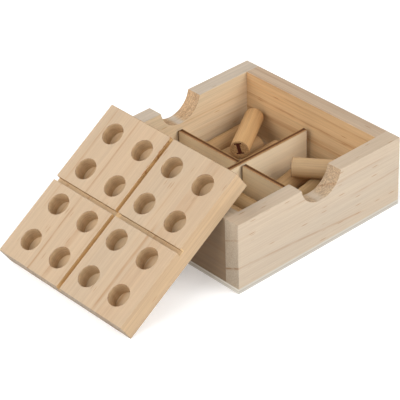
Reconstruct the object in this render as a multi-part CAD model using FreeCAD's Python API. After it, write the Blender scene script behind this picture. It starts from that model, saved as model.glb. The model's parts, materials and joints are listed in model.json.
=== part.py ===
import FreeCAD, Part

import math
import os

# Wooden peg game in a box: open box, half-lapped cross divider, leaning
# game board with sixteen blind holes, sixteen numbered pegs.
# Millimetres, +Z up, origin at the centre of the underside of the box.
# +X runs along the two notched walls, +Y points at the back notched wall.

# ---- box ----
box_length = 152.3        # along X, full length of the notched walls
box_width = 150.0         # along Y, over both notched walls
wall_thickness = 12.0
wall_height = 50.0
bottom_thickness = 4.0
edge_easing = 0.4         # sanded edges, all but the glue seams

# ---- finger notches in the two long walls ----
notch_radius = 18.4
notch_depth = 15.3        # from the rim down to the lowest point of the arc

# ---- cross divider, laser-cut plywood ----
divider_thickness = 4.0
divider_height = 30.0
divider_length = 124.0
divider_slot_width = 5.5
divider_slot_play = 0.2   # extra depth of each half-lap slot
lower_divider_x = -1.5    # lower strip runs along Y
lower_divider_y = 0.2
upper_divider_x = -1.0    # upper strip runs along X
upper_divider_y = 0.5
lower_divider_gap = 0.1   # air under the lower strip
upper_divider_gap = 0.6   # the upper strip rides a little high in its slot

# ---- game board ----
board_along = 124.3       # up the slope when it leans on the box
board_across = 122.8      # along Y
board_thickness = 15.5
hole_diameter = 15.5
hole_depth = 11.0
hole_pitch_along = 29.8
hole_pitch_across = 29.5
hole_count = 4            # per row and per column
hole_mouth_easing = 0.35
groove_width = 3.2
groove_depth = 4.0
groove_shift_along = -0.4 # the saw cuts miss the middle by a little
groove_shift_across = 0.3
board_tilt = 33.6         # degrees above the table
board_gap = 0.25          # air between the board and the wall edge it leans on
board_y = 0.0

# ---- pegs ----
peg_diameter = 14.0
peg_length = 45.0
peg_easing = 0.8
numeral_depth = 0.3
numeral_height = 9.0
numeral_serif = 1.3       # height of a serif
wide_serif = 1.4          # how far a serif of I and II reaches past its stem
narrow_serif = 1.1        # the same for III and IV
single_stem = 2.7         # width of the stem of I
single_drift = 1.1        # I is stamped this much above the middle
double_stem = 1.7
double_spacing = 4.0      # stem to stem in II
triple_stem = 1.3
triple_spacing = 3.1      # stem to stem in III
four_stem_y = 3.2         # place of the I of IV
vee_y = -1.3              # place of the foot of the V
vee_reach = 2.3           # foot of the V to the middle of each top
vee_stroke = 1.1
peg_rest_gap = 0.1        # air under a peg on the floor
peg_stack_gap = 0.35      # air between a peg and those it lies on

overshoot = 1.0           # how far a cutting shape passes beyond the wood

# ---- derived ----
rim_z = bottom_thickness + wall_height
half_length = box_length / 2.0
half_width = box_width / 2.0
inner_half_length = half_length - wall_thickness
inner_half_width = half_width - wall_thickness
peg_radius = peg_diameter / 2.0
floor_peg_z = bottom_thickness + peg_radius + peg_rest_gap
top_peg_z = floor_peg_z + peg_diameter + peg_stack_gap

X_AXIS = FreeCAD.Vector(1, 0, 0)
Y_AXIS = FreeCAD.Vector(0, 1, 0)
Z_AXIS = FreeCAD.Vector(0, 0, 1)
ORIGIN = FreeCAD.Vector(0, 0, 0)


def block(x0, x1, y0, y1, z0, z1):
    """A rectangular block between two corners."""
    corner = FreeCAD.Vector(x0, y0, z0)
    return Part.makeBox(x1 - x0, y1 - y0, z1 - z0, corner)


def save(name, shape):
    """Write one piece to its own STEP file."""
    solid = shape.Solids[0]
    solid.exportStep(os.path.join("parts", name + ".step"))


def notch_cutter():
    """A cylinder along Y that cuts the finger notch through both long walls."""
    centre_z = rim_z - notch_depth + notch_radius
    start = FreeCAD.Vector(0, -half_width - overshoot, centre_z)
    return Part.makeCylinder(notch_radius, box_width + 2.0 * overshoot, start, Y_AXIS)


def in_cavity_corner(edge):
    """True for the inner edges where a wall meets the bottom or another wall."""
    box = edge.BoundBox
    on_floor = abs(box.ZMax - bottom_thickness) < 0.01
    upright = box.ZLength > wall_height / 2.0
    return on_floor or (upright and abs(abs(box.XMin) - inner_half_length) < 0.01)


def glued_box():
    """Bottom and walls as they leave the sander, before they are told apart."""
    box = block(-half_length, half_length, -half_width, half_width, 0.0, rim_z)
    cavity = block(-inner_half_length, inner_half_length, -inner_half_width, inner_half_width,
                   bottom_thickness, rim_z + overshoot)
    box = box.cut(cavity).cut(notch_cutter())
    exposed = [edge for edge in box.Edges if not in_cavity_corner(edge)]
    return box.makeFillet(edge_easing, exposed)


def wall_blocks():
    """The space of each wall: the long ones run the full length, the short ones between them."""
    return {
        "wall_front": block(-half_length, half_length, -half_width, -inner_half_width,
                            bottom_thickness, rim_z),
        "wall_back": block(-half_length, half_length, inner_half_width, half_width,
                           bottom_thickness, rim_z),
        "wall_left": block(-half_length, -inner_half_length, -inner_half_width, inner_half_width,
                           bottom_thickness, rim_z),
        "wall_right": block(inner_half_length, half_length, -inner_half_width, inner_half_width,
                            bottom_thickness, rim_z),
    }


def divider_strip():
    """A plain strip along X, centred on X and Y, standing on Z = 0."""
    half = divider_length / 2.0
    side = divider_thickness / 2.0
    return block(-half, half, -side, side, 0.0, divider_height)


def divider_slot(z0, z1):
    """The half-lap slot across the middle of a strip along X."""
    half = divider_slot_width / 2.0
    side = divider_thickness
    return block(-half, half, -side, side, z0, z1)


def lower_divider():
    """Strip along Y whose half-lap slot opens upward."""
    middle = divider_height / 2.0 - divider_slot_play
    strip = divider_strip().cut(divider_slot(middle, divider_height + overshoot))
    strip.rotate(ORIGIN, Z_AXIS, 90.0)
    base_z = bottom_thickness + lower_divider_gap
    strip.translate(FreeCAD.Vector(lower_divider_x, lower_divider_y, base_z))
    return strip


def upper_divider():
    """Strip along X whose half-lap slot opens downward."""
    middle = divider_height / 2.0 + divider_slot_play
    strip = divider_strip().cut(divider_slot(-overshoot, middle))
    base_z = bottom_thickness + upper_divider_gap
    strip.translate(FreeCAD.Vector(upper_divider_x, upper_divider_y, base_z))
    return strip


def hole_offsets(pitch):
    """Four positions spread evenly about the middle."""
    first = -pitch * (hole_count - 1) / 2.0
    return [first + pitch * index for index in range(hole_count)]


def board_hole(along, across):
    """The cutter of one blind hole with an eased mouth, on a board flat on Z = 0."""
    radius = hole_diameter / 2.0
    floor = FreeCAD.Vector(along, across, board_thickness - hole_depth)
    bore = Part.makeCylinder(radius, hole_depth + overshoot, floor, Z_AXIS)
    mouth_base = FreeCAD.Vector(along, across, board_thickness - hole_mouth_easing)
    mouth_height = 2.0 * hole_mouth_easing
    mouth = Part.makeCone(radius, radius + mouth_height, mouth_height, mouth_base, Z_AXIS)
    return bore.fuse(mouth)


def game_board():
    """The board flat on Z = 0, low edge on X = 0, centred on Y."""
    half = board_across / 2.0
    board = block(0.0, board_along, -half, half, 0.0, board_thickness)
    board = board.makeFillet(edge_easing, board.Edges)
    middle = board_along / 2.0
    groove_z = board_thickness - groove_depth
    side = groove_width / 2.0
    top = board_thickness + overshoot
    cut_x = middle + groove_shift_along
    cut_y = groove_shift_across
    board = board.cut(block(cut_x - side, cut_x + side, -half - overshoot, half + overshoot,
                            groove_z, top))
    board = board.cut(block(-overshoot, board_along + overshoot, cut_y - side, cut_y + side,
                            groove_z, top))
    for along in hole_offsets(hole_pitch_along):
        for across in hole_offsets(hole_pitch_across):
            board = board.cut(board_hole(middle + along, across))
    return board


def leaning_board():
    """The board leaning on the outer top edge of the plain left wall."""
    board = game_board()
    board.rotate(ORIGIN, Y_AXIS, -board_tilt)
    angle = math.radians(board_tilt)
    run = (rim_z + board_gap / math.cos(angle)) / math.tan(angle)
    low_x = -half_length - run
    board.translate(FreeCAD.Vector(low_x, board_y, 0.0))
    settle = -board.BoundBox.ZMin
    board.translate(FreeCAD.Vector(0.0, 0.0, settle))
    return board


def stroke(y0, y1, z0, z1):
    """One straight burnt stroke on the marked end of a peg lying along X."""
    half = peg_length / 2.0
    return block(-half - overshoot, -half + numeral_depth, y0, y1, z0, z1)


def serif_stroke(y, stem_width, overhang, drift=0.0):
    """An upright stem with a serif at the top and the bottom, drift above the middle."""
    top = drift + numeral_height / 2.0
    base = drift - numeral_height / 2.0
    stem = stem_width / 2.0
    reach = stem + overhang
    return [
        stroke(y - stem, y + stem, base, top),
        stroke(y - reach, y + reach, top - numeral_serif, top),
        stroke(y - reach, y + reach, base, base + numeral_serif),
    ]


def vee_strokes(y, reach, width):
    """Two slanted strokes meeting at the bottom, for the V of IV."""
    half = numeral_height / 2.0
    depth0 = -peg_length / 2.0 - overshoot
    cuts = []
    for side in (-1.0, 1.0):
        points = [
            FreeCAD.Vector(depth0, y - width / 2.0, -half),
            FreeCAD.Vector(depth0, y + width / 2.0, -half),
            FreeCAD.Vector(depth0, y + side * reach + width / 2.0, half),
            FreeCAD.Vector(depth0, y + side * reach - width / 2.0, half),
        ]
        face = Part.Face(Part.makePolygon(points + [points[0]]))
        cuts.append(face.extrude(FreeCAD.Vector(overshoot + numeral_depth, 0, 0)))
        top_y = y + side * reach
        cuts.append(stroke(top_y - width, top_y + width, half - numeral_serif, half))
    return cuts


def numeral_strokes(numeral):
    """The cuts that write one Roman numeral on the end of a peg."""
    if numeral == "I":
        return serif_stroke(0.0, single_stem, wide_serif, single_drift)
    if numeral == "II":
        side = double_spacing / 2.0
        return serif_stroke(-side, double_stem, wide_serif) + serif_stroke(side, double_stem, wide_serif)
    if numeral == "III":
        cuts = []
        for y in (-triple_spacing, 0.0, triple_spacing):
            cuts += serif_stroke(y, triple_stem, narrow_serif)
        return cuts
    # The end is read from outside, so the I of IV stands on the +Y side.
    stem = serif_stroke(four_stem_y, triple_stem, narrow_serif)
    return stem + vee_strokes(vee_y, vee_reach, vee_stroke)


def peg(numeral, centre, yaw, pitch=0.0, roll=0.0):
    """A round peg along its own X, numeral on the -X end, then laid in place."""
    half = peg_length / 2.0
    start = FreeCAD.Vector(-half, 0, 0)
    body = Part.makeCylinder(peg_radius, peg_length, start, X_AXIS)
    rims = [edge for edge in body.Edges if abs(abs(edge.CenterOfMass.x) - half) < 0.01]
    body = body.makeFillet(peg_easing, rims)
    for cut in numeral_strokes(numeral):
        body = body.cut(cut)
    body.rotate(ORIGIN, X_AXIS, roll)
    body.rotate(ORIGIN, Y_AXIS, -pitch)
    body.rotate(ORIGIN, Z_AXIS, yaw)
    body.translate(FreeCAD.Vector(*centre))
    return body


# Where every peg lies: name, numeral, centre, yaw, pitch and roll in degrees.
# Each compartment holds three pegs on its floor and one lying across them.
PEGS = [
    ("peg_one_by_wall", "I", (31.2, 54.5, floor_peg_z), 2.4, 0.0, 40.0),
    ("peg_one_middle", "I", (27.5, 37.9, floor_peg_z), -3.2, 0.0, -65.0),
    ("peg_one_by_divider", "I", (33.2, 21.4, floor_peg_z), 1.7, 0.0, 120.0),
    ("peg_one_on_top", "I", (38.5, 36.4, top_peg_z + peg_rest_gap), 32.4, 1.6, -14.0),
    ("peg_two_by_divider", "II", (30.4, -14.9, floor_peg_z), 9.6, 0.0, 15.0),
    ("peg_two_middle", "II", (33.4, -33.3, floor_peg_z), 10.8, 0.0, -30.0),
    ("peg_two_by_wall", "II", (33.0, -51.2, floor_peg_z), 6.0, 0.0, 80.0),
    ("peg_two_on_top", "II", (43.2, -35.5, top_peg_z), 128.2, 0.0, 25.0),
    ("peg_three_by_divider", "III", (-12.2, -28.0, floor_peg_z), 90.0, 0.0, 10.0),
    ("peg_three_middle", "III", (-26.6, -36.2, floor_peg_z), 90.0, 0.0, -50.0),
    ("peg_three_by_wall", "III", (-41.6, -29.5, floor_peg_z), 91.0, 0.0, 70.0),
    ("peg_three_on_top", "III", (-29.5, -49.5, top_peg_z), 3.0, 0.0, -20.0),
    ("peg_four_by_divider", "IV", (-12.4, 31.0, floor_peg_z), 90.0, 0.0, 35.0),
    ("peg_four_middle", "IV", (-27.3, 36.5, floor_peg_z), 90.5, 0.0, -15.0),
    ("peg_four_by_wall", "IV", (-42.4, 29.0, floor_peg_z), 89.0, 0.0, 95.0),
    ("peg_four_on_top", "IV", (-35.0, 27.5, top_peg_z), -58.0, 0.0, 5.0),
]


os.makedirs("parts", exist_ok=True)

glued = glued_box()
floor_space = block(-half_length, half_length, -half_width, half_width, 0.0, bottom_thickness)
save("bottom_panel", glued.common(floor_space))
for name, space in wall_blocks().items():
    save(name, glued.common(space))

save("divider_lower", lower_divider())
save("divider_upper", upper_divider())

save("game_board", leaning_board())

for name, numeral, centre, yaw, pitch, roll in PEGS:
    save(name, peg(numeral, centre, yaw, pitch, roll))
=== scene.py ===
"""Wooden peg game in a box: pine box, laser-cut divider, leaning board, dowel pegs."""

import json
import math
from dataclasses import dataclass

import bpy
from mathutils import Matrix, Vector


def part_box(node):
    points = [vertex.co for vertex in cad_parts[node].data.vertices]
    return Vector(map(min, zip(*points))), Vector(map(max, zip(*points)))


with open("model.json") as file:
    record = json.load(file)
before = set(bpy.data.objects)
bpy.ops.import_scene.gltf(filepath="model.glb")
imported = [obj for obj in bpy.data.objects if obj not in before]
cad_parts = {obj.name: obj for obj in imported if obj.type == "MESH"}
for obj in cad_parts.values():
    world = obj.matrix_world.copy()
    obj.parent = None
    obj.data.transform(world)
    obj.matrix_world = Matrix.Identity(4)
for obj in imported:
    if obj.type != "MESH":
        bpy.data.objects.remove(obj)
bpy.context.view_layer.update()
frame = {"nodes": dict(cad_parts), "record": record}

MM = 0.001             # one millimetre, in metres
WOOD_SPECULAR = 0.3
RECORD = frame["record"]
NODES = frame["nodes"]


# ---------------------------------------------------------------- small helpers


def srgb(red, green, blue):
    """A colour given as 0 to 255 on screen, as the linear values that shaders use."""
    linear = []
    for value in (red, green, blue):
        share = value / 255.0
        low = share / 12.92
        high = ((share + 0.055) / 1.055) ** 2.4
        linear.append(low if share <= 0.04045 else high)
    return tuple(linear)


def grain_frame(origin, along, up=(0.0, 0.0, 1.0)):
    """A frame at origin whose X runs along the grain and whose Z is nearest to up."""
    x = Vector(along).normalized()
    z = Vector(up)
    z = (z - x * z.dot(x)).normalized()
    y = z.cross(x)
    turned = Matrix((x, y, z)).transposed().to_4x4()
    turned.translation = origin
    return turned


def middle(node):
    """The middle of a CAD node's box."""
    low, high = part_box(node)
    return (low + high) / 2.0


class Graph:
    """One material's node tree, with a short call for each kind of node."""

    def __init__(self, name):
        self.material = bpy.data.materials.new(name)
        self.material.use_nodes = True
        self.tree = self.material.node_tree
        self.tree.nodes.clear()
        self.place = self.node("TexCoord")

    def node(self, kind, **settings):
        made = self.tree.nodes.new("ShaderNode" + kind)
        for key, value in settings.items():
            setattr(made, key, value)
        return made

    def feed(self, socket, value):
        if isinstance(value, bpy.types.NodeSocket):
            self.tree.links.new(value, socket)
        elif isinstance(value, tuple) and len(value) == 3 and socket.type == "RGBA":
            socket.default_value = (*value, 1.0)
        else:
            socket.default_value = value

    def math(self, operation, *values, clamp=False):
        made = self.node("Math", operation=operation, use_clamp=clamp)
        for socket, value in zip(made.inputs, values):
            self.feed(socket, value)
        return made.outputs[0]

    def vector(self, operation, *values):
        made = self.node("VectorMath", operation=operation)
        for socket, value in zip(made.inputs, values):
            self.feed(socket, value)
        single = operation in ("DOT_PRODUCT", "LENGTH", "DISTANCE")
        return made.outputs["Value" if single else "Vector"]

    def scaled(self, vector, stretch, seed):
        """The vector stretched on each axis, then moved off by a seed."""
        stretched = self.vector("MULTIPLY", vector, stretch)
        return self.vector("ADD", stretched, (seed, seed * 0.37, -seed * 0.61))

    def split(self, vector):
        made = self.node("SeparateXYZ")
        self.feed(made.inputs[0], vector)
        return made.outputs

    def mix(self, factor, first, second, blend="MIX"):
        made = self.node("Mix", data_type="RGBA", blend_type=blend)
        self.feed(made.inputs["Factor"], factor)
        self.feed(made.inputs[6], first)
        self.feed(made.inputs[7], second)
        return made.outputs[2]

    def tint(self, colour, by):
        """A colour multiplied by another one, or by a number."""
        return self.mix(1.0, colour, by, "MULTIPLY")

    def blend(self, factor, first, second):
        """A plain number between two others."""
        made = self.node("Mix", data_type="FLOAT")
        self.feed(made.inputs["Factor"], factor)
        self.feed(made.inputs[2], first)
        self.feed(made.inputs[3], second)
        return made.outputs[0]

    def step(self, value, low, high, first=0.0, second=1.0):
        """A smooth step of value from low to high."""
        made = self.node("MapRange", interpolation_type="SMOOTHSTEP")
        for socket, number in zip(made.inputs, (value, low, high, first, second)):
            self.feed(socket, number)
        return made.outputs[0]

    def fall(self, value, low, high):
        """A smooth step down, from one at low to zero at high."""
        return self.step(value, low, high, 1.0, 0.0)

    def noise(self, at, stretch, seed=0.0, detail=2.0, roughness=0.5):
        """Noise with its own stretch on each axis, different for each seed."""
        scaled = self.scaled(at, stretch, seed)
        made = self.node("TexNoise")
        self.feed(made.inputs["Vector"], scaled)
        made.inputs["Scale"].default_value = 1.0
        made.inputs["Detail"].default_value = detail
        made.inputs["Roughness"].default_value = roughness
        return made.outputs

    def ramp(self, value, stops):
        """Ramp through (place from 0 to 1, brightness or colour) stops."""
        made = self.node("ValToRGB")
        made.color_ramp.interpolation = "EASE"
        elements = made.color_ramp.elements
        while len(elements) > 1:
            elements.remove(elements[0])
        for index, (place, tone) in enumerate(stops):
            colour = tone if isinstance(tone, tuple) else (tone, tone, tone)
            element = elements[0] if index == 0 else elements.new(place)
            element.position = place
            element.color = (*colour, 1.0)
        self.feed(made.inputs[0], value)
        return made.outputs[0]

    def local(self, frame_matrix):
        """Position in a piece's own frame, in millimetres."""
        made = self.node("Mapping", vector_type="TEXTURE")
        self.feed(made.inputs["Vector"], self.place.outputs["Object"])
        made.inputs["Location"].default_value = frame_matrix.translation
        made.inputs["Rotation"].default_value = frame_matrix.to_euler()
        made.inputs["Scale"].default_value = (MM, MM, MM)
        return made.outputs[0]

    def facing(self, direction):
        """How squarely the surface faces along a direction, from 0 to 1."""
        towards = tuple(Vector(direction).normalized())
        cosine = self.vector("DOT_PRODUCT", self.place.outputs["Normal"], towards)
        return self.math("ABSOLUTE", cosine)

    def finish(self, colour, roughness, height, depth_mm):
        """Bare wood with the given colour, roughness and depth of grain."""
        bump = self.node("Bump")
        bump.inputs["Strength"].default_value = 1.0
        bump.inputs["Distance"].default_value = depth_mm * MM
        self.feed(bump.inputs["Height"], height)
        shader = self.node("BsdfPrincipled")
        self.feed(shader.inputs["Base Color"], colour)
        self.feed(shader.inputs["Roughness"], roughness)
        self.feed(shader.inputs["Normal"], bump.outputs[0])
        shader.inputs["Specular IOR Level"].default_value = WOOD_SPECULAR
        output = self.node("OutputMaterial")
        self.tree.links.new(shader.outputs[0], output.inputs[0])
        return self.material


# ---------------------------------------------------------------- wood


SAWN_DEPTH = 0.05   # depth of the grain of solid wood, in millimetres
PLY_DEPTH = 0.04    # the same for plywood

# How finely each pattern is drawn along X, Y and Z of the wood, in cycles per millimetre.
RING_WANDER = (0.008, 0.02, 0.02)
RING_SHADE = (0.01, 0.09, 0.09)
MARK_WANDER = (0.013, 0.004, 0.004)
MARK_BREAKS = (0.05, 0.3, 0.3)
FLECK_CELLS = (0.06, 0.6, 0.6)
TONE_PATCHES = (0.006, 0.035, 0.035)
LONG_FIBRES = (0.012, 0.8, 0.8)
SHORT_FIBRES = (0.08, 3.5, 3.5)
END_PORES = (0.3, 1.1, 1.1)
DRILL_RINGS = (0.08, 0.08, 1.1)
TORN_AND_SHADE_PATCHES = (0.35, 0.9, 0.9)
SMOKE_PATCHES = (0.25, 0.25, 0.25)
LASER_RIDGES = (1.8, 0.4, 1.8)

RING_LEAN = 0.45    # how far a drawn ring moves across for each millimetre into the wood
RING_EDGE = 0.9     # width over which a drawn ring ends on its sharp side, in millimetres
RING_TAPER = 8.0    # half the length over which a drawn ring's end fades, in millimetres
RING_ON_EDGE = 0.5  # strength of the rings on the edges, against the seen face
RING_ON_END = 1.8   # the same on end grain
OLD_FADE = 0.3      # depth over which the grey of an old end fades, in millimetres


@dataclass
class Mark:
    """A dark growth ring, drawn where it meets the seen face. Lengths in millimetres."""

    y: float                  # place across the face, where the ring ends sharply
    soft: float               # width over which it fades in
    strength: float
    start: float = -500.0     # stretch along the grain
    end: float = 500.0
    slope: float = 0.0        # how far it climbs across the face for each millimetre along it


@dataclass
class Wood:
    """How one piece of solid wood was cut. X along the grain, Y across and Z out of the seen face."""

    pale: tuple               # early wood
    late: tuple               # dark side of a growth ring
    pith: tuple               # centre of the rings, (y, z)
    marks: tuple = ()
    face_z: float = 6.0       # z of the seen face
    wobble: float = 2.0       # how far the rings stray
    fine_spacing: float = 2.4
    fine_strength: float = 0.15
    streaks: float = 0.10     # strength of the fibre streaks
    flecks: float = 0.0       # share of the places for a resin fleck that have one
    edge_tint: tuple = (1.0, 1.0, 1.0)
    edge_streaks: float = 0.0 # strength of more streaks, on the edges only
    end_tint: tuple = (0.80, 0.72, 0.64)
    old_end_x: float = -1000.0            # a sawn end beyond this place has gone grey
    old_end_tint: tuple = (1.0, 1.0, 1.0)
    seed: float = 0.0


def drawn_marks(g, wood, at):
    """The listed rings, from 0 to 1. They stray together, as rings of one tree do."""
    wander = g.noise(at, MARK_WANDER, wood.seed, 2.0, 0.45)["Fac"]
    x, y, z = g.split(at)
    y = g.math("ADD", y, g.math("MULTIPLY", g.math("SUBTRACT", wander, 0.5), 2.0 * wood.wobble))
    y = g.math("ADD", y, g.math("MULTIPLY", g.math("SUBTRACT", wood.face_z, z), RING_LEAN))
    total = 0.0
    for mark in wood.marks:
        climbed = g.math("SUBTRACT", y, g.math("MULTIPLY", x, mark.slope))
        beside = g.math("SUBTRACT", climbed, mark.y)
        line = g.step(beside, -mark.soft, 0.0)
        line = g.math("MULTIPLY", line, g.step(beside, 0.0, RING_EDGE, mark.strength, 0.0))
        line = g.math("MULTIPLY", line, g.step(x, mark.start - RING_TAPER, mark.start + RING_TAPER))
        line = g.math("MULTIPLY", line, g.fall(x, mark.end - RING_TAPER, mark.end + RING_TAPER))
        total = g.math("MAXIMUM", total, line)
    broken = g.noise(at, MARK_BREAKS, wood.seed + 3.0, 3.0, 0.6)["Fac"]
    return g.math("MULTIPLY", total, g.step(broken, 0.3, 0.6, 0.45, 1.1))


def ring_pattern(g, wood, at):
    """Late wood from 0 to 1: fine rings everywhere, and the listed rings."""
    wander = g.noise(at, RING_WANDER, wood.seed, 2.0, 0.45)["Color"]
    centred = g.vector("SUBTRACT", wander, (0.5, 0.5, 0.5))
    strayed = g.vector("ADD", at, g.vector("MULTIPLY", centred, (0.0, wood.wobble, wood.wobble)))
    flat = g.vector("MULTIPLY", strayed, (0.0, 1.0, 1.0))
    radius = g.vector("DISTANCE", flat, (0.0, *wood.pith))

    fine = g.math("FRACT", g.math("DIVIDE", radius, wood.fine_spacing))
    fine = g.ramp(fine, ((0.0, 0.0), (0.55, 0.35), (0.85, 1.0), (1.0, 0.0)))
    shade = g.noise(at, RING_SHADE, wood.seed + 7.0)["Fac"]
    fine = g.math("MULTIPLY", fine, g.step(shade, 0.35, 0.7, 0.2, 1.0))
    fine = g.math("MULTIPLY", fine, wood.fine_strength)
    if not wood.marks:
        return fine
    return g.math("MAXIMUM", fine, drawn_marks(g, wood, at))


def fleck_pattern(g, wood, at):
    """Short dark resin flecks along the grain, from 0 to 1."""
    cells = g.node("TexVoronoi", voronoi_dimensions="3D", feature="F1")
    g.feed(cells.inputs["Vector"], g.scaled(at, FLECK_CELLS, wood.seed + 11.0))
    cells.inputs["Scale"].default_value = 1.0
    dash = g.fall(cells.outputs["Distance"], 0.10, 0.24)
    chance = g.split(cells.outputs["Color"])[0]
    chosen = g.math("LESS_THAN", chance, wood.flecks)
    return g.math("MULTIPLY", dash, chosen)


def wood_colour(g, wood, at, frame_matrix):
    """Colour, a height from 0 to 1, and how much the surface is end grain."""
    end = g.step(g.facing(frame_matrix.col[0].to_3d()), 0.04, 0.3)
    edge = g.step(g.facing(frame_matrix.col[1].to_3d()), 0.45, 0.9)
    edge = g.math("MULTIPLY", edge, g.math("SUBTRACT", 1.0, end))
    late = ring_pattern(g, wood, at)
    ring_strength = g.blend(end, g.blend(edge, 1.0, RING_ON_EDGE), RING_ON_END)
    late = g.math("MULTIPLY", late, ring_strength, clamp=True)
    colour = g.mix(late, wood.pale, wood.late)

    tone = g.noise(at, TONE_PATCHES, wood.seed + 1.0)["Fac"]
    warmth = g.mix(g.step(tone, 0.3, 0.7), (1.03, 1.0, 0.97), (0.97, 0.975, 0.985))
    colour = g.tint(colour, warmth)

    long_streak = g.noise(at, LONG_FIBRES, wood.seed + 2.0, 3.0, 0.6)["Fac"]
    short_streak = g.noise(at, SHORT_FIBRES, wood.seed + 5.0, 2.0, 0.6)["Fac"]
    fibre = g.math("ADD", g.math("MULTIPLY", long_streak, 0.6), g.math("MULTIPLY", short_streak, 0.4))
    low, high = 1.0 - wood.streaks, 1.0 + wood.streaks
    colour = g.tint(colour, g.step(fibre, 0.3, 0.7, low, high))

    if wood.flecks > 0.0:
        fleck = fleck_pattern(g, wood, at)
        colour = g.mix(g.math("MULTIPLY", fleck, 0.8), colour, wood.late)

    colour = g.tint(colour, g.mix(edge, (1.0, 1.0, 1.0), wood.edge_tint))
    if wood.edge_streaks > 0.0:
        low, high = 1.0 - wood.edge_streaks, 1.0 + wood.edge_streaks
        streak = g.step(long_streak, 0.35, 0.65, low, high)
        colour = g.tint(colour, g.blend(edge, 1.0, streak))

    pores = g.noise(at, END_PORES, wood.seed + 9.0, 3.0, 0.7)["Fac"]
    old = g.fall(g.split(at)[0], wood.old_end_x, wood.old_end_x + OLD_FADE)
    speckle = g.step(pores, 0.40, 0.60, 0.74, 1.14)
    speckle = g.blend(g.math("MULTIPLY", old, 0.6), speckle, 1.0)
    end_colour = g.tint(colour, wood.end_tint)
    end_colour = g.tint(end_colour, speckle)
    end_colour = g.mix(old, end_colour, g.tint(end_colour, wood.old_end_tint))
    colour = g.mix(end, colour, end_colour)
    height = g.blend(end, fibre, pores)
    return colour, height, end


def sanded_roughness(g, height, end):
    """Roughness of sanded wood: fibres a little smoother than the hollows, end grain duller."""
    return g.blend(end, g.step(height, 0.3, 0.7, 0.55, 0.68), 0.8)


def solid_wood(name, wood, frame_matrix):
    """Sanded bare wood cut as one piece."""
    g = Graph(name)
    at = g.local(frame_matrix)
    colour, height, end = wood_colour(g, wood, at, frame_matrix)
    return g.finish(colour, sanded_roughness(g, height, end), height, SAWN_DEPTH)


# The cuts of the board, painted lighter and warmer than the face: fresh cut wood plus painted warm
# bounce light. Lengths in millimetres, tints against the sanded face.
BOARD_FACE_Z = 5.7            # a hole's mount is at its half depth, so the face is this far above
BELOW_FACE = (0.3, 0.6)       # depths between which a cut's colour sets in
HOLE_REACH = (8.2, 8.8)       # distances from a hole's axis between which its colour ends
HOLE_FLOOR_TINT = (1.37, 1.38, 1.30)
HOLE_WALL_TINT = (1.22, 1.14, 0.98)
WALL_EVENNESS = 0.72          # how far the drill has evened out the grain of a hole's wall
GROOVE_REACH = (2.0, 2.4)     # distances from a groove's middle between which its colour ends
GROOVE_BOTTOM = (4.2, 4.5)    # depths between which its colour ends
SAWN_ALONG_TINT = (1.41, 1.33, 1.06)
SAWN_ACROSS_TINT = (1.28, 1.25, 1.10)
TORN_AND_SHADE_START = (1.6, 1.9)       # tear-out and painted shade of the groove's side begin between these distances from the long groove
TORN_AND_SHADE_END = (2.2, 3.2)         # and end between these
TORN_AND_SHADE_ALONG = (18.0, 30.0)     # places up the slope between which they set in
TORN_AND_SHADE_STRENGTH = 0.7


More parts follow.
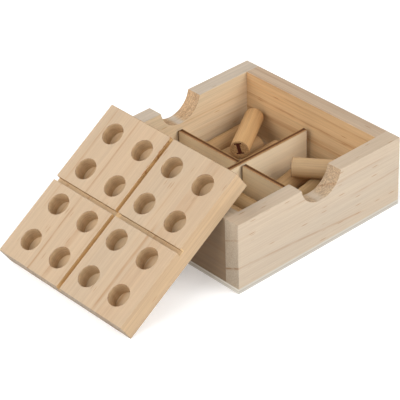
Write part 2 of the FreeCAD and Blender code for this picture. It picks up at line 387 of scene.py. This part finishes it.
def machined_board(name, wood, frame_matrix, pitch):
    """Solid wood whose bored holes and sawn cross grooves show warmer fresh cuts, with painted warm
    bounce light in them.
    """
    g = Graph(name)
    at = g.local(frame_matrix)
    colour, height, end = wood_colour(g, wood, at, frame_matrix)
    x, y, z = g.split(at)
    inside = g.fall(z, wood.face_z - BELOW_FACE[1], wood.face_z - BELOW_FACE[0])

    cell = g.vector("SUBTRACT", g.vector("FRACTION", g.vector("DIVIDE", at, pitch)), (0.5, 0.5, 0.5))
    from_hole = g.vector("LENGTH", g.vector("MULTIPLY", cell, (pitch[0], pitch[1], 0.0)))
    hole = g.math("MULTIPLY", inside, g.fall(from_hole, *HOLE_REACH))
    turned = g.noise(at, DRILL_RINGS, 5.0)["Fac"]
    tool_rings = g.step(turned, 0.35, 0.65, 0.89, 1.04)
    # Painted light: the hole is tinted lighter and warmer, fresh cut wood plus painted warm bounce
    # light.
    raw_cut_and_bounce = g.tint(colour, HOLE_FLOOR_TINT)
    drilled_and_bounce = tuple(part * share for part, share in zip(wood.pale, HOLE_WALL_TINT))
    on_wall = g.step(g.facing(frame_matrix.col[2].to_3d()), 0.3, 0.7, WALL_EVENNESS, 0.0)
    raw_cut_and_bounce = g.mix(on_wall, raw_cut_and_bounce, drilled_and_bounce)
    raw_cut_and_bounce = g.tint(raw_cut_and_bounce, tool_rings)
    colour = g.mix(hole, colour, raw_cut_and_bounce)

    bottom_z = wood.face_z - GROOVE_BOTTOM[1]
    groove = g.math("MULTIPLY", inside, g.step(z, bottom_z, wood.face_z - GROOVE_BOTTOM[0]))
    across = g.math("MULTIPLY", groove, g.fall(g.math("ABSOLUTE", x), *GROOVE_REACH))
    along = g.math("MULTIPLY", groove, g.fall(g.math("ABSOLUTE", y), *GROOVE_REACH))
    # Painted light: the grooves are tinted lighter and warmer, fresh cut wood plus painted warm bounce
    # light.
    sawn_along_and_bounce = g.tint(colour, SAWN_ALONG_TINT)
    sawn_across_and_bounce = g.tint(colour, SAWN_ACROSS_TINT)
    colour = g.mix(along, g.mix(across, colour, sawn_across_and_bounce), sawn_along_and_bounce)

    # Tear-out along one side of the long groove, darkened as painted shade of the groove's side wall.
    torn_and_shaded = g.step(g.noise(at, TORN_AND_SHADE_PATCHES, 8.0)["Fac"], 0.50, 0.58)
    beside = g.math("MULTIPLY", g.step(y, *TORN_AND_SHADE_START), g.fall(y, *TORN_AND_SHADE_END))
    torn_and_shaded_there = g.math("MULTIPLY", beside, g.step(x, *TORN_AND_SHADE_ALONG, 0.0, TORN_AND_SHADE_STRENGTH))
    torn_and_shaded = g.math("MULTIPLY", torn_and_shaded, torn_and_shaded_there)
    colour = g.mix(torn_and_shaded, colour, srgb(150, 98, 52))
    return g.finish(colour, sanded_roughness(g, height, end), height, SAWN_DEPTH)


# ---------------------------------------------------------------- plywood


# Colours down the sanded edge of the bottom, from its top (0) to its underside (1).
BOTTOM_PLIES = ((0.0, srgb(179, 174, 164)), (0.34, srgb(179, 174, 164)),
                (0.38, srgb(158, 151, 140)), (0.62, srgb(168, 162, 152)),
                (0.66, srgb(176, 173, 166)), (1.0, srgb(172, 170, 164)))
SHORT_SIDE_PAINTED_LIGHT = 1.42        # the short sides are painted paler than the long ones: painted light lifting the left side in the board's shade


def plywood_bottom(name, frame_matrix, thickness):
    """Three-ply sheet with sanded edges."""
    g = Graph(name)
    at = g.local(frame_matrix)
    face_wood = Wood(pale=srgb(196, 168, 134), late=srgb(170, 138, 100), pith=(400.0, -300.0),
                     fine_spacing=3.2, fine_strength=0.3, streaks=0.05, seed=31.0)
    colour, height, _ = wood_colour(g, face_wood, at, frame_matrix)
    below_top = g.math("SUBTRACT", thickness / 2.0, g.split(at)[2])
    plies = g.ramp(g.math("DIVIDE", below_top, thickness), BOTTOM_PLIES)
    # Painted light: the short sides are made paler to lift the left side, which lies in the board's
    # shade.
    plies = g.tint(plies, g.step(g.facing((1.0, 0.0, 0.0)), 0.45, 0.9, 1.0, SHORT_SIDE_PAINTED_LIGHT))
    on_edge = g.fall(g.facing((0.0, 0.0, 1.0)), 0.3, 0.6)
    colour = g.mix(on_edge, colour, plies)
    return g.finish(colour, 0.7, height, PLY_DEPTH)


# The scorched cuts of the divider strips, with painted shade beside their ends and slots. Lengths in
# millimetres.
SLOT_WIDTH = 5.5
SMOKED = srgb(150, 112, 70)
SMOKE_STRENGTH = 0.22
SMOKE_REACH = 1.3             # how far the smoke drifts over a face beside a cut
CHARRED_AND_SHADED = srgb(116, 62, 12)
CHAR_AND_SHADE_STRENGTH = 0.85
CHAR_AND_SHADE_REACH = (0.3, 1.0)       # distances from an upright cut between which the scorch and painted shade end
CORNER_SHADE_REACH = 2.5            # a cut edge darkens this near to an upright cut: scorch plus painted shade at the walls and the crossing
FAR_OFF = 50.0                # added to a distance that doesn't count
# Colours across a cut edge, from one face of the strip (0) to the other (1).
BURNT_PLIES = ((0.0, srgb(166, 128, 84)), (0.12, srgb(154, 114, 68)), (0.22, srgb(80, 43, 10)),
               (0.48, srgb(82, 45, 12)), (0.62, srgb(134, 92, 52)), (0.80, srgb(164, 124, 84)),
               (1.0, srgb(176, 140, 100)))


def laser_plywood(name, pale, frame_matrix, size, slot_side):
    """Laser-cut strip along X: clean faces, cut edges scorched most in the darker core ply.

    The strip is slotted from its middle to its top where slot_side is 1, to its foot where it is -1.
    """
    g = Graph(name)
    at = g.local(frame_matrix)
    length, thickness, height_mm = size
    face_wood = Wood(pale=pale, late=srgb(202, 172, 128), pith=(30.0, -260.0),
                     fine_spacing=4.0, fine_strength=0.25, streaks=0.06, seed=length + 3.0)
    colour, height, _ = wood_colour(g, face_wood, at, frame_matrix)
    x, y, z = g.split(at)
    from_middle = g.math("ABSOLUTE", x)
    to_end = g.math("SUBTRACT", length / 2.0, from_middle)
    beyond_slot = g.step(g.math("MULTIPLY", z, slot_side), -0.5, 0.0, FAR_OFF, 0.0)
    to_slot = g.math("ABSOLUTE", g.math("SUBTRACT", from_middle, SLOT_WIDTH / 2.0))
    to_slot = g.math("ADD", to_slot, beyond_slot)
    to_edge = g.math("SUBTRACT", height_mm / 2.0, g.math("ABSOLUTE", z))
    to_cut = g.math("MINIMUM", to_end, to_edge)

    drift = g.math("MULTIPLY", g.noise(at, SMOKE_PATCHES, 0.0, 3.0, 0.6)["Fac"], SMOKE_REACH)
    smoke = g.fall(g.math("SUBTRACT", to_cut, drift), -0.6, 0.5)
    colour = g.mix(g.math("MULTIPLY", smoke, SMOKE_STRENGTH), colour, SMOKED)
    # Beside the ends and slots the faces are darkened: scorch plus painted shade where the strip meets
    # the wall and the other strip.
    to_upright = g.math("MINIMUM", to_end, to_slot)
    char_and_shade = g.step(to_upright, *CHAR_AND_SHADE_REACH, CHAR_AND_SHADE_STRENGTH, 0.0)
    colour = g.mix(char_and_shade, colour, CHARRED_AND_SHADED)

    across = g.math("ADD", g.math("DIVIDE", y, thickness), 0.5)
    burnt = g.ramp(across, BURNT_PLIES)
    ridges = g.noise(at, LASER_RIDGES, 4.0)["Fac"]
    burnt = g.tint(burnt, g.step(ridges, 0.3, 0.7, 0.8, 1.15))
    # Cut edges are darkened near the ends and slots: scorch plus painted shade at the walls and the
    # crossing.
    burnt = g.tint(burnt, g.step(to_upright, 0.0, CORNER_SHADE_REACH, 0.5, 1.0))
    cut = g.fall(g.facing(frame_matrix.col[1].to_3d()), 0.4, 0.7)
    colour = g.mix(cut, colour, burnt)
    return g.finish(colour, g.blend(cut, 0.62, 0.8), height, PLY_DEPTH)


# ---------------------------------------------------------------- pegs


FLAT = 0.9999                 # a face whose normal is this near to a direction faces it
PEG_UP = (0.13, 0.21, 1.0)    # no peg lies along this direction
BURN_RADIUS = 6.2             # the numeral lies within this distance of a peg's axis, in millimetres
BURN_DEPTHS = (0.08, 1.0)     # and between these depths


def peg_end(node, direction):
    """One flat end of a dowel: its middle, its exact outward direction and how deep it is cut."""
    disc = [face for face in NODES[node].data.polygons if face.normal.dot(direction) > FLAT]
    area = sum(face.area for face in disc)
    centre = sum((face.center * face.area for face in disc), Vector()) / area
    outward = sum((face.normal * face.area for face in disc), Vector()).normalized()
    depths = [face.center.dot(outward) for face in disc]
    return centre, outward, max(depths) - min(depths)


def peg_frame(node):
    """A frame with its origin on a dowel's marked end and X running into the dowel."""
    areas = {}
    for face in NODES[node].data.polygons:
        facing = tuple(round(part, 2) for part in face.normal)
        areas[facing] = areas.get(facing, 0.0) + face.area
    flat_ends = sorted(areas, key=areas.get)[-2:]
    blank, marked = sorted((peg_end(node, Vector(facing).normalized()) for facing in flat_ends),
                           key=lambda end: end[2])
    inward = blank[1]
    length = (blank[0] - marked[0]).dot(inward)
    return grain_frame(blank[0] - inward * length, inward, PEG_UP)


def dowel(name, node, wood):
    """Round peg with a numeral burnt into its marked end."""
    frame_matrix = peg_frame(node)
    g = Graph(name)
    at = g.local(frame_matrix)
    colour, height, end = wood_colour(g, wood, at, frame_matrix)
    depth = g.split(at)[0]
    across = g.vector("LENGTH", g.vector("MULTIPLY", at, (0.0, 1.0, 1.0)))
    shallow = g.math("LESS_THAN", depth, BURN_DEPTHS[1])
    burn = g.math("MULTIPLY", g.math("LESS_THAN", across, BURN_RADIUS), shallow)
    burn = g.math("MULTIPLY", burn, g.math("GREATER_THAN", depth, BURN_DEPTHS[0]))
    colour = g.mix(burn, colour, srgb(70, 25, 6))
    return g.finish(colour, g.blend(end, 0.6, 0.82), height, SAWN_DEPTH)


# ---------------------------------------------------------------- finishes of each piece


def paint(node, material):
    """Gives a CAD node its material."""
    slots = NODES[node].data.materials
    slots.clear()
    slots.append(material)


def paint_walls():
    """The four pine walls, each sawn from its own strip and seen from the side named here. The left one
    is painted dark with the shade under the board, and the inner faces of the back and right ones hold
    painted warm bounce light.
    """
    towards_front = (0.0, -1.0, 0.0)
    towards_left = (-1.0, 0.0, 0.0)
    front = Wood(pale=srgb(175, 160, 141), late=srgb(146, 112, 80), pith=(30.0, -90.0), seed=1.0,
                 flecks=0.32, fine_strength=0.08, fine_spacing=6.0, wobble=1.6, streaks=0.09,
                 edge_tint=(1.11, 1.09, 1.08), end_tint=(1.02, 0.91, 0.78),
                 old_end_x=-75.9, old_end_tint=(0.84, 0.95, 1.10),
                 marks=(Mark(-14.2, 1.8, 0.45, -90.0, 40.0, -0.085), Mark(16.6, 1.2, 0.3, -30.0, 60.0),
                        Mark(-1.0, 1.6, 0.35, 30.0, 90.0, 0.03),
                        Mark(15.8, 1.6, 0.6, 14.0, 24.0), Mark(14.0, 1.4, 0.25, -90.0, -66.0)))
    # The back wall's colour is its pine tone plus painted warm bounce light of the box's inside; its
    # rims are tinted back to the plainer pine.
    back = Wood(pale=srgb(211, 189, 157), late=srgb(178, 138, 94), pith=(30.0, -80.0), seed=2.0,
                flecks=0.14, fine_strength=0.28, fine_spacing=6.0, wobble=1.8, streaks=0.12,
                edge_tint=(0.76, 0.81, 0.96), end_tint=(0.72, 0.62, 0.54),
                marks=(Mark(9.0, 2.0, 0.4, 0.0, 64.0), Mark(-2.0, 2.5, 0.35, 10.0, 64.0)))
    # The left wall is painted dark as painted shade under the leaning board; its rims are tinted back
    # up to the pine's colour.
    left = Wood(pale=srgb(129, 107, 83), late=srgb(116, 84, 54), pith=(35.0, -70.0), seed=3.0,
                fine_strength=0.3, fine_spacing=5.0, edge_tint=(2.0, 2.3, 2.7))
    # The right wall's colour is its more orange pine plus painted warm bounce light of the box's
    # inside; its rims are tinted back to the plainer pine.
    right = Wood(pale=srgb(205, 172, 130), late=srgb(166, 116, 68), pith=(-40.0, -60.0), seed=4.0,
                 fine_strength=0.55, fine_spacing=5.5, wobble=2.5, streaks=0.13,
                 edge_tint=(0.74, 0.83, 1.09), flecks=0.05,
                 marks=(Mark(8.0, 3.0, 0.6), Mark(-4.0, 4.0, 0.5), Mark(19.0, 2.0, 0.4)))
    walls = (("wall_front", front, (1.0, 0.0, 0.0), towards_front),
             ("wall_back", back, (1.0, 0.0, 0.0), towards_front),
             ("wall_left", left, (0.0, -1.0, 0.0), towards_left),
             ("wall_right", right, (0.0, -1.0, 0.0), towards_left))
    for node, wood, along, seen_side in walls:
        frame_matrix = grain_frame(middle(node), along, seen_side)
        paint(node, solid_wood("pine_" + node, wood, frame_matrix))


def paint_bottom():
    """The plywood bottom, whose edges show all round the box."""
    low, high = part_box("bottom_panel")
    thickness = (high.z - low.z) / MM
    frame_matrix = grain_frame(middle("bottom_panel"), (1.0, 0.0, 0.0))
    paint("bottom_panel", plywood_bottom("plywood_bottom", frame_matrix, thickness))


def paint_dividers():
    """The two laser-cut strips, each laid with its darker ply the way the photograph shows."""
    strips = (("divider_lower", srgb(233, 211, 174), (0.0, 1.0, 0.0), 1.0),
              ("divider_upper", srgb(232, 214, 184), (-1.0, 0.0, 0.0), -1.0))
    for node, pale, along, slot_side in strips:
        low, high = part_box(node)
        sides = (high - low) / MM
        length = max(sides.x, sides.y)
        thickness = min(sides.x, sides.y)
        frame_matrix = grain_frame(middle(node), along)
        size = (length, thickness, sides.z)
        paint(node, laser_plywood("laser_" + node, pale, frame_matrix, size, slot_side))


def board_frame():
    """The leaning board's frame: X up the slope, Z out of the face with the holes."""
    holes = [mount for mount in RECORD["mounts"] if mount["kind"] == "bore"]
    normal = Vector(holes[0]["axis"])
    across = Vector((0.0, 1.0, 0.0))
    centre = sum((Vector(hole["pos_m"]) for hole in holes), Vector()) / len(holes)
    return grain_frame(centre, across.cross(normal), normal)


HOLES_PER_ROW = 4
NO_REPEAT = 1000.0            # a pitch larger than the board, for the way through it


def hole_pitch():
    """Distance between the board's holes up the slope, across it and through it, in millimetres."""
    holes = [Vector(mount["pos_m"]) for mount in RECORD["mounts"] if mount["kind"] == "bore"]
    to_board = board_frame().inverted()
    places = [to_board @ hole / MM for hole in holes]
    gaps = []
    for axis in (0, 1):
        spots = [place[axis] for place in places]
        gaps.append((max(spots) - min(spots)) / (HOLES_PER_ROW - 1))
    return (gaps[0], gaps[1], NO_REPEAT)


def paint_board():
    """The game board, grain up the slope, its low end grey with age."""
    wood = Wood(pale=srgb(173, 151, 125), late=srgb(150, 114, 78), pith=(40.0, -160.0), seed=5.0,
                fine_strength=0.09, streaks=0.085, flecks=0.09, wobble=1.5, face_z=BOARD_FACE_Z,
                edge_tint=(0.99, 0.95, 0.87), edge_streaks=0.04,
                old_end_x=-61.9, old_end_tint=(0.84, 1.00, 1.24),
                marks=(Mark(-38.0, 22.0, 0.26), Mark(31.9, 1.6, 0.7), Mark(53.3, 1.6, 0.5, -20.0, 62.0),
                       Mark(15.3, 5.0, 0.2, -10.0, 62.0), Mark(17.5, 5.0, 0.5, -62.0, -5.0),
                       Mark(-33.0, 3.0, 0.7, -62.0, 5.0), Mark(-46.0, 2.5, 0.5, 20.0, 62.0),
                       Mark(-27.0, 1.6, 0.35, -10.0, 40.0), Mark(4.5, 2.0, 0.2, -62.0, 10.0)))
    paint("game_board", machined_board("pine_board", wood, board_frame(), hole_pitch()))


def paint_pegs():
    """Dowels from mixed stock, so their tone differs from one to the next."""
    pegs = sorted(node for node in NODES if node.startswith("peg_"))
    tones = ((190, 156, 113), (192, 155, 109), (192, 160, 117),
             (188, 157, 118), (184, 150, 109), (190, 158, 117))
    late_wood_drop = (36, 44, 44)
    for index, node in enumerate(pegs):
        pale = tones[index % len(tones)]
        late = [light - drop for light, drop in zip(pale, late_wood_drop)]
        wood = Wood(pale=srgb(*pale), late=srgb(*late), pith=(-9.0, 14.0), fine_spacing=1.7,
                    fine_strength=0.45, streaks=0.14, wobble=1.5, end_tint=(0.72, 0.70, 0.70),
                    seed=20.0 + 3.1 * index)
        paint(node, dowel("dowel_" + node, node, wood))


# ---------------------------------------------------------------- studio


FLOOR_HALF = 8.0              # metres, so far out that its edge is out of sight
FLOOR_GREY = 0.92
NEAR_GLOW = 0.22              # glow of the floor under the object, where the soft boxes light it
FAR_GLOW = 0.9                # its glow far off, where they do not
GLOW_RISE = (0.5, 1.3)        # metres from the middle between which the glow rises
WORLD_LIGHT = 0.1

# Soft boxes: name, place and width in metres, power in watts.
SOFT_BOXES = (("right_box", (0.36, -1.1, 0.72), 1.1, 18.0),
              ("left_box", (-1.15, 0.1, 0.72), 1.1, 16.0),
              ("back_box", (-0.25, 1.1, 0.87), 1.0, 10.5),
              ("fill_box", (-0.85, -0.95, 0.9), 0.9, 4.5))


def add_floor():
    """Pale table top under the object, glowing so that it stays white as in the photograph."""
    half = FLOOR_HALF
    corners = [(-half, -half, 0.0), (half, -half, 0.0), (half, half, 0.0), (-half, half, 0.0)]
    mesh = bpy.data.meshes.new("floor")
    mesh.from_pydata(corners, [], [(0, 1, 2, 3)])
    floor = bpy.data.objects.new("floor", mesh)
    bpy.context.scene.collection.objects.link(floor)
    g = Graph("floor_white")
    away = g.vector("LENGTH", g.place.outputs["Object"])
    shader = g.node("BsdfPrincipled")
    shader.inputs["Base Color"].default_value = (FLOOR_GREY, FLOOR_GREY, FLOOR_GREY, 1.0)
    shader.inputs["Roughness"].default_value = 0.9
    shader.inputs["Emission Color"].default_value = (1.0, 1.0, 1.0, 1.0)
    glow = g.step(away, *GLOW_RISE, NEAR_GLOW, FAR_GLOW)
    g.feed(shader.inputs["Emission Strength"], glow)
    output = g.node("OutputMaterial")
    g.tree.links.new(shader.outputs[0], output.inputs[0])
    mesh.materials.append(g.material)


def add_soft_box(name, place, size, power):
    """A square light facing the object."""
    data = bpy.data.lights.new(name, "AREA")
    data.shape = "SQUARE"
    data.size = size
    data.energy = power
    light = bpy.data.objects.new(name, data)
    light.location = place
    light.rotation_euler = (-Vector(place)).to_track_quat("-Z", "Y").to_euler()
    bpy.context.scene.collection.objects.link(light)


def add_world():
    """A faint even light from all round."""
    world = bpy.data.worlds.new("studio")
    world.use_nodes = True
    background = world.node_tree.nodes["Background"]
    background.inputs["Color"].default_value = (1.0, 1.0, 1.0, 1.0)
    background.inputs["Strength"].default_value = WORLD_LIGHT
    bpy.context.scene.world = world


def add_camera():
    """Long lens, looking down at the near corner of the box."""
    azimuth = math.radians(-41.84)
    elevation = math.radians(33.416)
    roll = math.radians(-1.688)
    distance = 1.4544
    target = Vector((-0.03934, 0.00139, 0.02119))
    back = Vector((math.sin(azimuth) * math.cos(elevation),
                   -math.cos(azimuth) * math.cos(elevation),
                   math.sin(elevation)))
    right = Vector((math.cos(azimuth), math.sin(azimuth), 0.0))
    up = back.cross(right)
    right, up = (right * math.cos(roll) + up * math.sin(roll),
                 up * math.cos(roll) - right * math.sin(roll))
    data = bpy.data.cameras.new("camera")
    data.sensor_width = 36.0
    data.lens = 192.78
    data.clip_end = 20.0
    camera = bpy.data.objects.new("camera", data)
    placed = Matrix((right, up, back)).transposed().to_4x4()
    placed.translation = target + back * distance
    camera.matrix_world = placed
    bpy.context.scene.collection.objects.link(camera)
    bpy.context.scene.camera = camera


def add_studio():
    """White table, soft boxes, and the camera at the photograph's angle."""
    bpy.context.scene.view_settings.view_transform = "Standard"
    add_world()
    add_floor()
    for name, place, size, power in SOFT_BOXES:
        add_soft_box(name, place, size, power)
    add_camera()


paint_walls()
paint_bottom()
paint_dividers()
paint_board()
paint_pegs()
add_studio()
